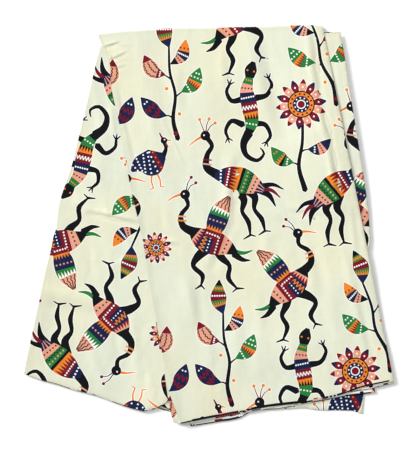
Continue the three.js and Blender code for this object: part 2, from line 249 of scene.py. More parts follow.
def smooth_line(points, step):
    """Points along a smooth curve through the given ones, about a step apart."""
    points = np.asarray(points, float)
    padded = np.vstack([2 * points[0] - points[1], points, 2 * points[-1] - points[-2]])
    line = [points[:1]]
    for before, start, end, after in zip(padded, padded[1:], padded[2:], padded[3:]):
        count = max(1, round(float(np.linalg.norm(end - start)) / step))
        t = (np.arange(1, count + 1) / count)[:, None]
        line.append(0.5 * (2 * start + (end - before) * t
                           + (2 * before - 5 * start + 4 * end - after) * t ** 2
                           + (3 * start - before - 3 * end + after) * t ** 3))
    return np.vstack(line)


def lengths_along(line):
    """How far along a line each of its points lies."""
    return np.concatenate([[0], np.cumsum(np.linalg.norm(np.diff(line, axis=0), axis=1))])


def unit(vectors):
    return vectors / np.maximum(np.linalg.norm(vectors, axis=1, keepdims=True), 1e-9)


def left_of(ways):
    return np.column_stack([-ways[:, 1], ways[:, 0]])


def outward_of(loop):
    return unit(-left_of(np.roll(loop, -1, axis=0) - np.roll(loop, 1, axis=0)))


SHARP_CORNER = 26  # degrees
OUTLINE_STEP = 6.0  # mm between the points of a ply's outline


def fair_outline(points, step):
    """The same outline as smooth runs between its sharp corners."""
    ahead = np.roll(points, -1, axis=0) - points
    behind = np.roll(ahead, 1, axis=0)
    turn = np.degrees(np.arctan2(np.cross(behind, ahead), np.sum(ahead * behind, axis=1)))
    corners = list(np.flatnonzero(np.abs(turn) > SHARP_CORNER)) or [0]
    runs = []
    for start, end in zip(corners, corners[1:] + [corners[0] + len(points)]):
        run = points[np.arange(start, end + 1) % len(points)]
        runs.append(smooth_line(run, step)[:-1])
    return np.vstack(runs)


FIELD_STEP = 6.0  # mm between the heights read from a CAD node
FIELD_BLUR = 2.2  # in field steps: takes out the flat facets of the CAD surface
BLUR_REACH = 7  # in field steps
FIELD_MARGIN = 10  # field steps round the node
FIELD_GROWTH = 6  # field steps past the blur that get the heights nearest to them
RAY_HEIGHT = 0.1  # m, well over the cloth


def height_field(node, least_up=0.5):
    """The height in mm of a CAD node's upper side, smoothed, as a function of places in mm. It
    is read where the upward part of the normal is more than least_up."""
    joined = welded(node)
    tree = BVHTree.FromBMesh(joined)
    joined.free()
    low, high = (np.array(corner[:2]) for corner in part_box(node))
    start = low / MM - FIELD_MARGIN * FIELD_STEP
    size = ((high - low) / MM / FIELD_STEP).astype(int) + 2 * FIELD_MARGIN + 2
    height, known = np.zeros(size), np.zeros(size)
    for cell in np.ndindex(*size):
        over = Vector((*(start + np.array(cell) * FIELD_STEP) * MM, RAY_HEIGHT))
        point, normal, _, _ = tree.ray_cast(over, Vector((0, 0, -1)))
        if point and normal.z > least_up:
            height[cell] = point.z / MM
            known[cell] = 1

    def blurred(values):
        for axis in (1, 0):
            values = sum(math.exp(-0.5 * (offset / FIELD_BLUR) ** 2) * np.roll(values, offset, axis)
                         for offset in range(-BLUR_REACH, BLUR_REACH + 1))
        return values

    weight = blurred(known)
    smooth = blurred(height * known) / np.maximum(weight, 1e-12)
    sides = [(shift, axis) for shift in (1, -1) for axis in (1, 0)]
    for _ in range(FIELD_GROWTH):
        bare = weight < 1e-6
        near = sum(np.roll(smooth * ~bare, *side) for side in sides)
        count = sum(np.roll((~bare).astype(float), *side) for side in sides)
        grown = bare & (count > 0)
        smooth[grown] = near[grown] / count[grown]
        weight[grown] = 1

    def height_at(places):
        steps = np.clip((places - start) / FIELD_STEP, 0, size - 1.001)
        cells = steps.astype(int)
        share = steps - cells
        u, v = (share * share * (3 - 2 * share) * 0.5 + share * 0.5).T
        left, low = cells.T
        lower = smooth[left, low] * (1 - u) + smooth[left + 1, low] * u
        upper = smooth[left, low + 1] * (1 - u) + smooth[left + 1, low + 1] * u
        return lower * (1 - v) + upper * v
    return height_at


def inside(loop, points):
    """Which of the points lie inside a closed loop."""
    x, y = points[:, 0], points[:, 1]
    result = np.zeros(len(points), bool)
    for (ax, ay), (bx, by) in zip(loop, np.roll(loop, -1, axis=0)):
        if ay != by:
            crosses = (ay > y) != (by > y)
            result ^= crosses & (x < (bx - ax) * (y - ay) / (by - ay) + ax)
    return result


def closed_edges(first, count):
    return [(first + i, first + (i + 1) % count) for i in range(count)]


def filled(ring, inner, upward):
    """Triangles that fill a closed ring and use the points inner to it. They name the points
    by number, the ring's first."""
    points = [Vector(point) for point in np.vstack([ring, inner])]
    verts, _, tris, origins, _, _ = delaunay_2d_cdt(points, closed_edges(0, len(ring)), [], 0, 1e-5, True)
    places = np.array([tuple(v) for v in verts])
    tris = np.array(tris)
    tris = tris[inside(ring, places[tris].mean(axis=1))]
    number = np.array([origin[0] for origin in origins])
    return number[tris if upward else tris[:, [0, 2, 1]]]


def placed(name, data):
    """An object in the scene, at the origin."""
    holder = bpy.data.objects.new(name, data)
    bpy.context.collection.objects.link(holder)
    return holder


MAP_GAP = 0.004  # of the flat map's side
UNDERSIDE_SCALE = 0.18  # of the lower faces on the flat map


def mesh_piece(name, points, faces, finishes, materials, cloth_uv, upper_faces=None, edge_shade=None):
    """A mesh object from points in mm, with each point's place on the cloth in metres. With a
    count of upper faces it also gets a flat map, where the lower faces lie beside them. Edge
    shade is how much painted shade each point gets towards the cloth's edges, from 0 to 1."""
    mesh = bpy.data.meshes.new(name)
    mesh.from_pydata((np.asarray(points) * MM).tolist(), [], faces)
    for material in materials:
        mesh.materials.append(material)
    mesh.polygons.foreach_set("material_index", finishes)
    corners = np.zeros(len(mesh.loops), int)
    mesh.loops.foreach_get("vertex_index", corners)
    cloth_uv = np.asarray(cloth_uv)[corners]
    if upper_faces:
        flat = cloth_uv - cloth_uv.min(axis=0)
        flat = flat / (flat.max() * 1.02) + MAP_GAP
        first_lower = mesh.polygons[upper_faces].loop_start
        across, up = flat.max(axis=0)
        shift = np.array([across, 0]) if across < 0.8 else np.array([0, up])
        flat[first_lower:] = flat[first_lower:] * UNDERSIDE_SCALE + shift + MAP_GAP
        mesh.uv_layers.new(name="OFBake").data.foreach_set("uv", flat.ravel())
    mesh.uv_layers.new(name="cloth").data.foreach_set("uv", cloth_uv.ravel())
    # Painted shade near the edges, kept as an attribute that the cloth finish reads.
    if edge_shade is not None:
        mesh.attributes.new("painted_edge_shade", "FLOAT", "POINT").data.foreach_set("value", edge_shade)
    mesh.shade_smooth()
    mesh.update()
    return placed(name, mesh)


def folded_lengths():
    rim = fair_outline(outline_of("folded_core"), 7.0)
    rim = rim - outward_of(rim) * PILE_INSET
    top_at = height_field("folded_core")
    normals = outward_of(rim)
    size = len(rim)
    along = np.cumsum(np.linalg.norm(np.roll(rim, -1, axis=0) - rim, axis=1))
    side_height = top_at(rim - normals * SIDE_REACH)
    share = along / along[-1] * 2 * math.pi
    points, cloth_uv = [], []

    def add_ring(setback, level):
        ring = rim - normals * np.reshape(setback, (-1, 1))
        points.append(np.column_stack([ring, side_height * level]))
        cloth_uv.append(np.column_stack([along, np.full(size, level * 6)]) * MM)

    add_ring(PLY_SETBACK * 0.5 + 1.2, 0.0)
    for ply in range(INNER_PLIES):
        sway = 0.5 + 0.5 * np.sin(share * (3 + ply) + ply * 1.9) * np.cos(share * 2 + ply)
        setback = PLY_SETBACK * sway + 0.55 * ply ** 1.15
        foot, head = ply / INNER_PLIES, (ply + 1) / INNER_PLIES
        if ply:
            add_ring(setback + PLY_GROOVE, foot + 0.005)
        for depth, level in PLY_ROUND:
            add_ring(setback + depth, foot + (head - foot) * level)
        if ply < INNER_PLIES - 1:
            add_ring(setback + PLY_GROOVE, head - 0.004)
    faces = []
    for ring in range(len(points) - 1):
        low = np.arange(size) + ring * size
        after = np.roll(low, -1)
        faces += np.column_stack([low, after, after + size, low + size]).tolist()
    last_ring = (len(points) - 1) * size
    points, cloth_uv = np.vstack(points), np.vstack(cloth_uv)
    across, up = np.meshgrid(np.arange(-480, 481, PILE_GRID), np.arange(-510, 511, PILE_GRID))
    grid = np.column_stack([across.ravel(), up.ravel()])
    for first, upward in ((0, False), (last_ring, True)):
        loop = points[first:first + size, :2]
        inner = grid[inside(loop - normals * 15, grid)]
        level = top_at(inner) - HIDDEN_SAG if upward else np.zeros(len(inner))
        number = np.append(np.arange(first, first + size), np.arange(len(inner)) + len(points))
        faces += number[filled(loop, inner, upward)].tolist()
        points = np.vstack([points, np.column_stack([inner, level])])
        cloth_uv = np.vstack([cloth_uv, inner * MM])
    return points, faces, cloth_uv


core_points, core_faces, core_uv = folded_lengths()
inner_plies = mesh_piece(
    "inner_plies", core_points, core_faces, [0] * len(core_faces),
    [cloth_material("Folded edges of the cotton", fold_dashes, rumple=0.1)], core_uv)
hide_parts("folded_core")
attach(inner_plies, "root")


# Tail end of the cloth.
# The cut end of the length, one ply thick, lies out from under the foot on the right. It is
# the first printed stretch, so the motifs and the way a ply is laid stand here.
HALO = 1.7  # mm of undyed cloth that the resist leaves round each motif
STROKE_TIP = 0.8  # half widths that a brush stroke goes on past its last point
cloth_dyes = [cloth_material(*facts) for facts in DYES.values()]


def between(steps, knots, rows):
    """Points at some steps along rows of points, which lie at the knots."""
    return np.column_stack([np.interp(steps, knots, rows[:, k]) for k in (0, 1)])


def turned(rows, degrees):
    """Rows of x, y turned anticlockwise."""
    cos, sin = math.cos(math.radians(degrees)), math.sin(math.radians(degrees))
    return np.column_stack([rows[:, 0] * cos - rows[:, 1] * sin, rows[:, 0] * sin + rows[:, 1] * cos])


def limb(points, widths, grow=0.0):
    """A brush stroke along a smooth line, with a width at each point, in mm."""
    line = smooth_line(points, 7.0)
    at = lengths_along(line)
    knots = np.array([np.argmin(np.linalg.norm(line - p, axis=1)) for p in np.asarray(points, float)])
    half = np.interp(at, at[knots], np.asarray(widths, float)) / 2 + grow
    along = unit(np.gradient(line, axis=0))
    side = left_of(along) * half[:, None]
    start = line[0] - along[0] * half[0] * STROKE_TIP
    end = line[-1] + along[-1] * half[-1] * STROKE_TIP
    return np.vstack([start, line - side, end, (line + side)[::-1]])


def disc(x, y, radius, grow=0.0, sides=14):
    turn = np.arange(sides) * 2 * math.pi / sides
    radius = radius + grow
    return np.column_stack([x + radius * np.cos(turn), y + radius * np.sin(turn)])


PROFILE_STEP = 50.0  # how far apart a form's half widths stand while they are smoothed
LEAST_HALF = 0.6  # mm, a form's least half width


class Form:
    """A patterned body, wing, leaf or petal: a spine in equal steps with a half width at each."""

    def __init__(self, spine, halves, grow=0.0, steps=36):
        line = smooth_line(spine, 2.0)
        at = lengths_along(line)
        line = between(np.linspace(0, at[-1], steps + 1), at, line)
        self.along = unit(np.gradient(line, axis=0))
        profile = smooth_line(np.column_stack([np.arange(len(halves)) * PROFILE_STEP, halves]), 1.0)
        half = np.interp(np.linspace(0, len(halves) - 1, steps + 1) * PROFILE_STEP, *profile.T)
        self.rows = [*line.T, *self.along.T, np.maximum(half, LEAST_HALF) + grow]
        self.steps = steps
        self.grow = grow

    def at(self, a, b):
        """The point a steps along the spine and b half widths to its left."""
        x, y, dx, dy, half = (np.interp(a, np.arange(self.steps + 1), row) for row in self.rows)
        return np.array([x - dy * half * b, y + dx * half * b]).T

    def piece(self, a0, a1, b0=-1.0, b1=1.0):
        """The part of the form from step a0 to a1, between two shares of its width."""
        steps = np.linspace(a0, a1, max(2, int(round(a1 - a0)) + 1))
        return np.vstack([self.at(steps, b0), self.at(steps[::-1], b1)])

    def outline(self):
        loop = self.piece(0, self.steps)
        if self.grow:
            start = self.at(0, 0) - self.along[0] * self.grow
            end = self.at(self.steps, 0) + self.along[-1] * self.grow
            middle = len(loop) // 2
            loop = np.vstack([start, loop[:middle], end, loop[middle:]])
        return loop


def bands(form, *row):
    """Bands of dye across the form, each dye followed by the step where its band ends."""
    return [(dye, form.piece(a0, a1)) for dye, a0, a1 in zip(row[::2], (0,) + row[1::2], row[1::2])]


def stripe(form, dye, a0, a1, b0, b1):
    return [(dye, form.piece(a0, a1, b0, b1))]


def spots(form, dye, a, count, radius, reach=0.78):
    shares = np.linspace(-reach, reach, count) if count > 1 else [0.0]
    return [(dye, disc(*form.at(a, b), radius, sides=9)) for b in shares]


def teeth(form, dye, a0, a1, count):
    """A row of triangles across the form, standing on step a0 and pointing to a1."""
    edges = np.linspace(-0.98, 0.98, count + 1)
    return [(dye, np.array([form.at(a0, b0), form.at(a0, b1), form.at(a1, (b0 + b1) / 2)]))
            for b0, b1 in zip(edges, edges[1:])]


def zigzag(form, dye, a0, a1, count, width):
    line = [form.at(a1 if k % 2 else a0, b) for k, b in enumerate(np.linspace(-0.96, 0.96, 2 * count + 1))]
    shapes = []
    for start, end in zip(line, line[1:]):
        side = np.array([start[1] - end[1], end[0] - start[0]])
        side *= width / 2 / max(np.linalg.norm(side), 1e-6)
        shapes.append((dye, np.array([start - side, end - side, end + side, start + side])))
    return shapes


def waves(form, dye, a0, a1, count, width):
    """Wavy lines running along the form."""
    shapes = []
    for b in np.linspace(-0.72, 0.72, count):
        steps = np.linspace(a0, a1, max(5, int((a1 - a0) * 1.2)))
        line = [form.at(a, b + 0.09 * math.sin(k * 1.5)) for k, a in enumerate(steps)]
        shapes.append((dye, limb(line, [width] * len(line))))
    return shapes


def checks(form, dye, a, count, size):
    """A row of small squares across the form, set square to its spine."""
    tilt = math.atan2(*form.along[int(a)][::-1])
    corners = np.array([(-1, -1), (1, -1), (1, 1), (-1, 1)]) * size / 2
    turned = corners @ np.array([[math.cos(tilt), math.sin(tilt)], [-math.sin(tilt), math.cos(tilt)]])
    return [(dye, turned + form.at(a, b)) for b in np.linspace(-0.74, 0.74, count)]


def drawn(row, grow=0.0):
    """The shapes of a motif's row: a stroke (dye, points, widths), a dot (dye, x, y, radius) or
    a form (its pattern, spine, half widths). With a grow it is the outline only, in resist."""
    fill, *values = row
    if isinstance(fill, list):
        spine, halves, *steps = values
        form = Form(spine, halves, grow, *steps)
        if grow:
            return [("resist", form.outline())]
        return [shape for make, *facts in fill for shape in make(form, *facts)]
    if isinstance(values[0], list):
        loop = limb(*values, grow)
    else:
        x, y, radius, *sides = values
        loop = disc(x, y, radius, grow, *sides)
    return [("resist" if grow else fill, loop)]


def motif(rows, details=()):
    """The shapes of a motif in paint order: its rows in resist, a halo wider, then the rows in
    their dyes and the details on them."""
    halo = [shape for row in rows for shape in drawn(row, HALO)]
    return halo + [shape for row in [*rows, *details] for shape in drawn(row)]


# A tall wading bird that looks to the left.
crane = motif([
    ("black", [(-2, 124), (8, 92), (-4, 66), (4, 36), (0, 4)], [25, 19, 10, 13, 5]),
    ("black", [(20, 118), (36, 92), (27, 64), (38, 34), (38, 4)], [25, 19, 10, 13, 5]),
    ("black", [(1, 4), (-19, -2)], [7, 3]), ("black", [(1, 4), (12, -3)], [5, 3]),
    ("black", [(38, 4), (20, -2)], [7, 3]), ("black", [(38, 4), (52, -1)], [5, 3]),
    ("black", [(54, 104), (72, 86), (80, 56)], [18, 14, 3]),
    ("wine", [(58, 110), (82, 96), (97, 74)], [12, 9, 3]),
    ("black", [(58, 114), (88, 110), (110, 92)], [15, 10, 3]),
    ("black", [(-36, 168), (-60, 196), (-50, 226), (-33, 244), (-40, 268)], [26, 19, 13, 11, 13]),
    ([(bands, "navy", 7, "wine", 11, "orange", 17, "black", 19, "green", 25, "salmon", 30, "navy", 36),
      (spots, "resist", 4, 4, 2.6), (spots, "resist", 9, 7, 2.3), (teeth, "wine", 11, 16, 7),
      (spots, "salmon", 21, 6, 2.2), (zigzag, "black", 22.6, 24.6, 6, 2.0), (spots, "plum", 27.5, 5, 2.4),
      (stripe, "salmon", 30, 35.5, -0.1, 0.1), (stripe, "salmon", 30, 35, 0.45, 0.6),
      (stripe, "salmon", 30, 35, -0.6, -0.45)],
     [(-46, 170), (-22, 162), (6, 147), (36, 126), (64, 100)], [8, 26, 32, 24, 7]),
    ("orange", [(-46, 274), (-66, 269), (-90, 259)], [8, 5, 1.6]),
    ("wine", [(-36, 280), (-24, 292), (-12, 296)], [3, 2.4, 2]),
    ("wine", [(-38, 282), (-31, 299), (-24, 308)], [3, 2.4, 2]),
    ("wine", [(-42, 283), (-44, 300), (-45, 312)], [3, 2.4, 2]),
    ("orange", -10, 297, 4.2), ("orange", -22, 311, 4.2), ("orange", -45, 316, 4.2),
    ("black", -42, 273, 12.5),
], [
    ("resist", -45, 275, 2.2),
    ("salmon", [(-66, 207), (-47, 199)], [3.8, 3.8]), ("wine", [(-63, 217), (-44, 210)], [3.8, 3.8]),
])

# The same wading bird in full stride to the right, one wing raised.
stepping_bird = motif([
    ("black", [(-10, 116), (-22, 86), (-40, 62), (-34, 32), (-52, 4)], [27, 20, 11, 13, 5]),
    ("black", [(10, 112), (36, 94), (50, 72), (30, 46), (36, 22)], [27, 21, 12, 13, 5]),
    ("black", [(-52, 4), (-70, 2)], [7, 3]), ("black", [(-52, 4), (-40, -4)], [5, 3]),
    ("black", [(36, 22), (52, 14)], [7, 3]), ("black", [(36, 22), (28, 11)], [5, 3]),
    ("green", [(-56, 96), (-80, 90), (-101, 94)], [12, 9, 3]),
    ("black", [(-54, 90), (-74, 74), (-93, 70)], [17, 12, 3]),
    ("black", [(36, 154), (64, 174), (66, 202), (46, 224), (50, 246)], [25, 18, 12, 10, 12]),
    ([(bands, "black", 6, "salmon", 12, "wine", 18, "navy", 27, "salmon", 31, "black", 36),
      (checks, "plum", 9, 4, 4.4), (spots, "resist", 15, 7, 2.4), (spots, "resist", 20.5, 7, 1.9),
      (zigzag, "orange", 22.4, 25.6, 6, 2.4), (teeth, "wine", 27, 30.6, 6)],
     [(-62, 92), (-34, 112), (-4, 126), (22, 140), (46, 164)], [5, 22, 31, 27, 8]),
    ([(bands, "wine", 6, "orange", 10, "navy", 18, "green", 24, "salmon", 36),
      (spots, "resist", 3, 5, 2.3), (teeth, "navy", 10, 6.6, 6), (checks, "salmon", 14, 5, 4.0),
      (teeth, "resist", 24, 19.6, 6), (waves, "black", 24.6, 35, 4, 2.6)],
     [(-2, 136), (-18, 168), (-34, 200), (-60, 236)], [15, 25, 23, 4]),
    ("orange", [(56, 254), (76, 250), (98, 240)], [8, 5, 1.6]),
    ("black", [(44, 258), (34, 272), (22, 276)], [3, 2.4, 2]),
    ("black", [(46, 262), (40, 280), (32, 290)], [3, 2.4, 2]),
    ("wine", 20, 278, 4.2), ("wine", 30, 293, 4.2), ("black", 50, 252, 12.5),
], [
    ("resist", 53, 254, 2.2),
    ("orange", [(55, 186), (76, 190)], [3.8, 3.8]), ("salmon", [(55, 197), (74, 200)], [3.8, 3.8]),
])

# A tall stem with five broad leaves, each in another pattern.
LEAF = [1.5, 13, 19, 14, 1.5]
leafy_stem = motif([
    ("black", [(0, 0), (7, 50), (-4, 110), (4, 170), (0, 236)], [13, 10, 8, 7, 5]),
    ("black", [(6, 52), (16, 60), (26, 62)], [5, 4, 3]),
    ("black", [(-3, 104), (-14, 112), (-24, 118)], [5, 4, 3]),
    ("black", [(2, 150), (12, 158), (20, 164)], [5, 4, 3]),
    ([(bands, "navy", 36), (zigzag, "wine", 8, 14, 3, 3.2), (zigzag, "wine", 17, 23, 3, 3.2),
      (spots, "resist", 28, 2, 2.2, 0.3)], [(22, 60), (52, 74), (82, 112)], LEAF),
    ([(bands, "green", 14, "orange", 20, "green", 36), (teeth, "wine", 14, 19.4, 6),
      (spots, "resist", 9, 4, 2.2), (spots, "resist", 24, 4, 2.2), (spots, "resist", 29, 2, 2.2, 0.3)],
     [(-20, 116), (-50, 132), (-72, 172)], LEAF),
    ([(bands, "wine", 10, "salmon", 28, "wine", 36), (waves, "black", 11, 27, 3, 2.6),
      (spots, "resist", 6.5, 3, 2.2, 0.5)], [(16, 162), (46, 176), (64, 216)], LEAF),
    ([(bands, "black", 8, "salmon", 14, "navy", 22, "orange", 36), (spots, "plum", 11, 4, 2.2),
      (spots, "resist", 18, 6, 2.2), (checks, "wine", 25.6, 3, 4.0)],
     [(0, 188), (-30, 206), (-44, 246)], [1.5, 11, 16, 12, 1.5]),
    ([(bands, "navy", 9, "green", 15, "wine", 24, "green", 30, "black", 36),
      (teeth, "orange", 9, 14.4, 6), (spots, "resist", 19.5, 6, 2.4),
      (zigzag, "orange", 25.4, 28.6, 4, 2.2)], [(0, 230), (8, 268), (2, 316)], [1.5, 15, 20, 13, 1.5]),
    ("wine", 4, 14, 6), ("orange", -10, 62, 4.6), ("orange", 16, 128, 4.6),
])


PETALS = 14


def blossom(x, y, size):
    """The rows and the details of a round flower head with patterned petals."""
    rows, details = [], []
    for number in range(PETALS):
        turn = number * 2 * math.pi / PETALS
        ray = np.array([math.cos(turn), math.sin(turn)]) * size
        dye, tip = ("salmon", "wine") if number % 2 else ("wine", "navy")
        petal = [(bands, dye, 8, tip, 12), (spots, "resist", 5, 1, 2.4 * size)]
        rows.append((petal, [(x, y) + ray * out for out in (30, 46, 63)], [5.5 * size, 9.5 * size, 2.0], 12))
    for dye, radius in (("black", 34), ("orange", 31), ("navy", 21), ("resist", 11.5), ("wine", 9)):
        rows.append((dye, x, y, radius * size, 28))
    for dye, number, reach, radius in (("plum", PETALS, 26, 2.6), ("resist", 10, 16.4, 1.9)):
        for turn in (np.arange(number) + 0.5) * 2 * math.pi / number:
            details.append((dye, x + reach * size * math.cos(turn), y + reach * size * math.sin(turn),
                            radius * size))
    return rows, details


loose_blossom = motif(*blossom(0, 40, 0.62))

# A round flower on a bent stem with two leaves.
flower_head, flower_dots = blossom(4, 214, 1.0)
sun_flower = motif([
    ("black", [(-14, 0), (-22, 60), (-6, 118), (2, 172)], [14, 10, 8, 7]),
    ("black", [(-20, 62), (-30, 70), (-36, 72)], [5, 4, 3]),
    ("black", [(-12, 96), (-2, 100), (8, 100)], [5, 4, 3]),
    ([(bands, "green", 12, "black", 15, "green", 36), (teeth, "orange", 15, 20, 5),
      (spots, "resist", 8, 3, 2.2, 0.5), (spots, "orange", 27, 2, 2.2, 0.3)],
     [(-34, 72), (-62, 84), (-84, 118)], [1.5, 13, 18, 12, 1.5]),
    ([(bands, "navy", 14, "salmon", 22, "navy", 36), (spots, "wine", 18, 5, 2.3),
      (spots, "resist", 9, 3, 2.2, 0.5)], [(6, 100), (36, 98), (66, 118)], [1.5, 12, 16, 11, 1.5]),
    *flower_head,
], flower_dots)


TOE_SPREAD = math.degrees(0.7)


def lizard_legs():
    """The four legs of the lizard, each with three toes."""
    rows = []
    legs = [
        [(16, 150), (42, 158), (54, 184), (46, 200)], [(-16, 146), (-44, 140), (-58, 162), (-52, 180)],
        [(14, 86), (42, 84), (56, 58), (48, 42)], [(-14, 82), (-42, 90), (-56, 66), (-50, 48)],
    ]
    for leg in legs:
        rows.append(("black", leg, [17, 12, 9, 7]))
        reach = np.array(leg[-1]) - np.array(leg[-2])
        for spread in (-TOE_SPREAD, 0.0, TOE_SPREAD):
            toe = leg[-1] + turned(reach[None], spread)[0] * 0.75
            rows.append(("black", [leg[-1], toe], [4.6, 3]))
    return rows


# A lizard seen from above, its tail in a loose curl.
lizard = motif([
    ("black", [(2, 62), (-10, 34), (-2, 6), (26, -6), (42, 12), (32, 26)], [24, 18, 13, 10, 7, 3]),
    *lizard_legs(),
    ([(bands, "black", 4, "green", 10, "orange", 14, "wine", 20, "navy", 26, "salmon", 31, "green", 36),
      (spots, "resist", 7, 4, 2.2), (teeth, "black", 10, 13.4, 5), (zigzag, "resist", 15.8, 18.2, 5, 2.2),
      (spots, "resist", 23, 6, 2.3), (checks, "plum", 28.5, 4, 4.0), (spots, "orange", 33.4, 3, 2.0, 0.5)],
     [(0, 56), (8, 90), (0, 130), (-8, 168), (-2, 204)], [8, 17, 20, 17, 9]),
    ([(bands, "black", 12), (spots, "orange", 5, 2, 2.4, 0.55)],
     [(-2, 200), (0, 218), (6, 240)], [11, 15, 5], 12),
])

# A round spotted hen, the smallest motif.
guinea_hen = motif([
    ("orange", [(-2, 34), (-6, 18), (-4, 2)], [5, 4, 3.4]),
    ("orange", [(12, 34), (16, 18), (14, 2)], [5, 4, 3.4]),
    ("orange", [(-4, 2), (-15, -1)], [3.4, 2.2]), ("orange", [(14, 2), (24, -1)], [3.4, 2.2]),
    ("black", [(34, 74), (46, 92), (44, 110)], [15, 9, 8]),
    ([(bands, "navy", 26, "wine", 30, "navy", 36), (spots, "resist", 5, 3, 2.3),
      (spots, "resist", 10, 5, 2.3), (spots, "resist", 15, 6, 2.3), (spots, "resist", 20, 6, 2.3),
      (spots, "resist", 24, 5, 2.3), (spots, "orange", 28, 4, 1.9)],
     [(-50, 54), (-26, 66), (6, 66), (38, 76)], [3, 24, 33, 9]),
    ("orange", [(50, 114), (64, 109)], [6, 1.6]), ("wine", [(42, 120), (38, 134)], [6, 3]),
    ("wine", [(48, 106), (51, 96)], [4, 5]), ("black", 45, 113, 8.5),
], [("resist", 47, 115, 1.9)])


# One repeat of the print, in columns that are half a step apart: the motif, its place
# across the strip and down it, its turn in degrees, and -1 where it looks the other way.
REPEAT = (566.0, 680.0)
MOTIF_REACH = 340  # mm from a motif's place to the furthest point of any
LAYOUT = [
    (crane, 260, 560, 4, 1), (crane, 485, 625, -5, -1), (stepping_bird, 340, 150, 3, 1),
    (stepping_bird, 148, 680, -5, -1), (leafy_stem, 535, 280, 6, 1), (leafy_stem, 130, 285, -6, -1),
    (sun_flower, 430, 475, -4, 1), (lizard, 290, 365, -14, 1), (guinea_hen, 50, 395, 0, 1),
    (loose_blossom, 28, 580, 8, 1),
]


def print_shapes(anchor, lean, reach):
    """The print's shapes on a ply: (dye, outline) in plan mm. The strip starts at the anchor,
    and its print runs down at a lean from straight down. Shapes past the reach are left out."""
    across, down = turned(np.array([(1.0, 0.0), (0.0, -1.0)]), lean)
    low, high = reach
    shapes = []
    for column in range(-2, 3):
        for row in range(-2, 4):
            for motif_shapes, s, t, tilt, facing in LAYOUT:
                spot = anchor + across * (s + column * REPEAT[0]) + down * (t + row * REPEAT[1])
                if np.any(spot < low - MOTIF_REACH) or np.any(spot > high + MOTIF_REACH):
                    continue
                for dye, loop in motif_shapes:
                    x, y = turned(loop * (facing, 1), tilt).T
                    laid = spot + np.outer(x, across) - np.outer(y, down)
                    if np.all(laid.max(axis=0) > low) and np.all(laid.min(axis=0) < high):
                        shapes.append((dye, laid))
    return shapes


def beside_run(points, start, run):
    """The share of a straight run that each point lies beside, and how far from it."""
    away = points - start
    share = np.clip(away @ run / (run @ run), 0, 1)
    return share, np.linalg.norm(away - share[:, None] * run, axis=1)


def crease_height(creases, points):
    """The height in mm that soft ridges and troughs add at some points."""
    height = np.zeros(len(points))
    for x0, y0, x1, y1, width, rise in creases:
        share, away = beside_run(points, [x0, y0], np.array([x1 - x0, y1 - y0]))
        taper = 0.35 + 0.65 * np.sin(np.pi * np.clip(share, 0.02, 0.98)) ** 0.7
        height += rise * taper * np.exp(-(away / width) ** 2)
    return height


PLY_GRID = 6.5  # mm between the mesh points of a ply's upper side
UNDER_GRID = 30.0  # and of its underside
NARROW_CREASE = 15  # mm
ROWS_BESIDE = (-1.6, -1.0, -0.5, 0.0, 0.5, 1.0, 1.6)  # crease widths from its middle


def points_beside(creases):
    """Extra mesh points along the narrow creases, so that they stay smooth."""
    points = []
    for x0, y0, x1, y1, width, _ in creases:
        if width > NARROW_CREASE:
            continue
        start, run = np.array([x0, y0]), np.array([x1 - x0, y1 - y0])
        length = np.hypot(*run)
        side = np.array([-run[1], run[0]]) / length
        for k, share in enumerate(np.linspace(-0.04, 1.04, max(3, int(length / PLY_GRID)))):
            for step in ROWS_BESIDE:
                points.append(start + run * share + side * width * (step + 0.12 * (k % 2)))
    points = np.array(points).reshape(-1, 2)
    cells = np.floor(points / 2.6).astype(int)
    return points[np.unique(cells, axis=0, return_index=True)[1]]


def foot_marks(node, rows):
    """Printed bars along a ply's foot. Each row has a dye, its start and end from the left
    corner, its width, and its distance from the edge, or two where it slants, in mm."""
    outline = outline_of(node)
    foot = outline[outward_of(outline)[:, 1] < -0.7]
    line = smooth_line(foot[np.argsort(foot[:, 0])], 4.0)
    at = lengths_along(line)
    inward = left_of(unit(np.gradient(line, axis=0)))
    shapes = []
    for dye, start, end, width, *up in rows:
        steps = np.linspace(start, end, max(2, int((end - start) / 6) + 1))
        rise = np.linspace(up[0], up[-1], len(steps))[:, None]
        path = between(steps, at, line) + between(steps, at, inward) * rise
        shapes.append((dye, limb(path, [width] * len(path))))
    return shapes


def nudged(outline, nudges):
    """The outline with its points near some places moved. Each row has a place x, y, how far
    round it the move reaches, and the move across and up, in mm."""
    moved = outline.copy()
    for x, y, reach, across, up in nudges:
        near = np.exp(-(np.hypot(outline[:, 0] - x, outline[:, 1] - y) / reach) ** 2)
        moved += near[:, None] * [across, up]
    return moved


EDGE_SHADE_WIDTH = 4.0  # mm in from the outline, over which the painted edge shade fades


def painted_edge_shade(points, outline):
    """How much painted shade points get, darkest along the cloth's edges: 1 at the outline."""
    nearest = np.full(len(points), np.inf)
    for start, run in zip(outline, np.roll(outline, -1, axis=0) - outline):
        nearest = np.minimum(nearest, beside_run(points, start, run)[1])
    return np.exp(-nearest / EDGE_SHADE_WIDTH)


RIM = [(0.30, 0.10), (0.50, 0.42), (0.42, 0.85), (0.12, 1.15)]  # mm out and down round an edge
RIM_STEP = 0.45  # mm of cloth from each of these rings to the next
PLY_DEPTH = 1.2  # mm
FOLD_TURN = 100  # degrees that the top fold shows round the end of the stack
OVER_FOLD = 0.965  # least upward part of a normal that is read, which leaves out the turned edge
FOLD_ROWS = (-9.0, -4.0, -1.0, 0.5, 2.0, 3.5, 5.0, 6.5)  # mm past the start of the turn
TOP_ZONE = 80  # mm below the highest point, the top edge lies within
EDGE_MARGIN = 4  # mm from a ply's edge, kept clear of the points beside creases
PRINT_CELL = 3.0  # mm, a square with a point of the print's outlines gets no grid point
CREASE_CELL = 5.0  # nor does one of this size with a point beside a crease


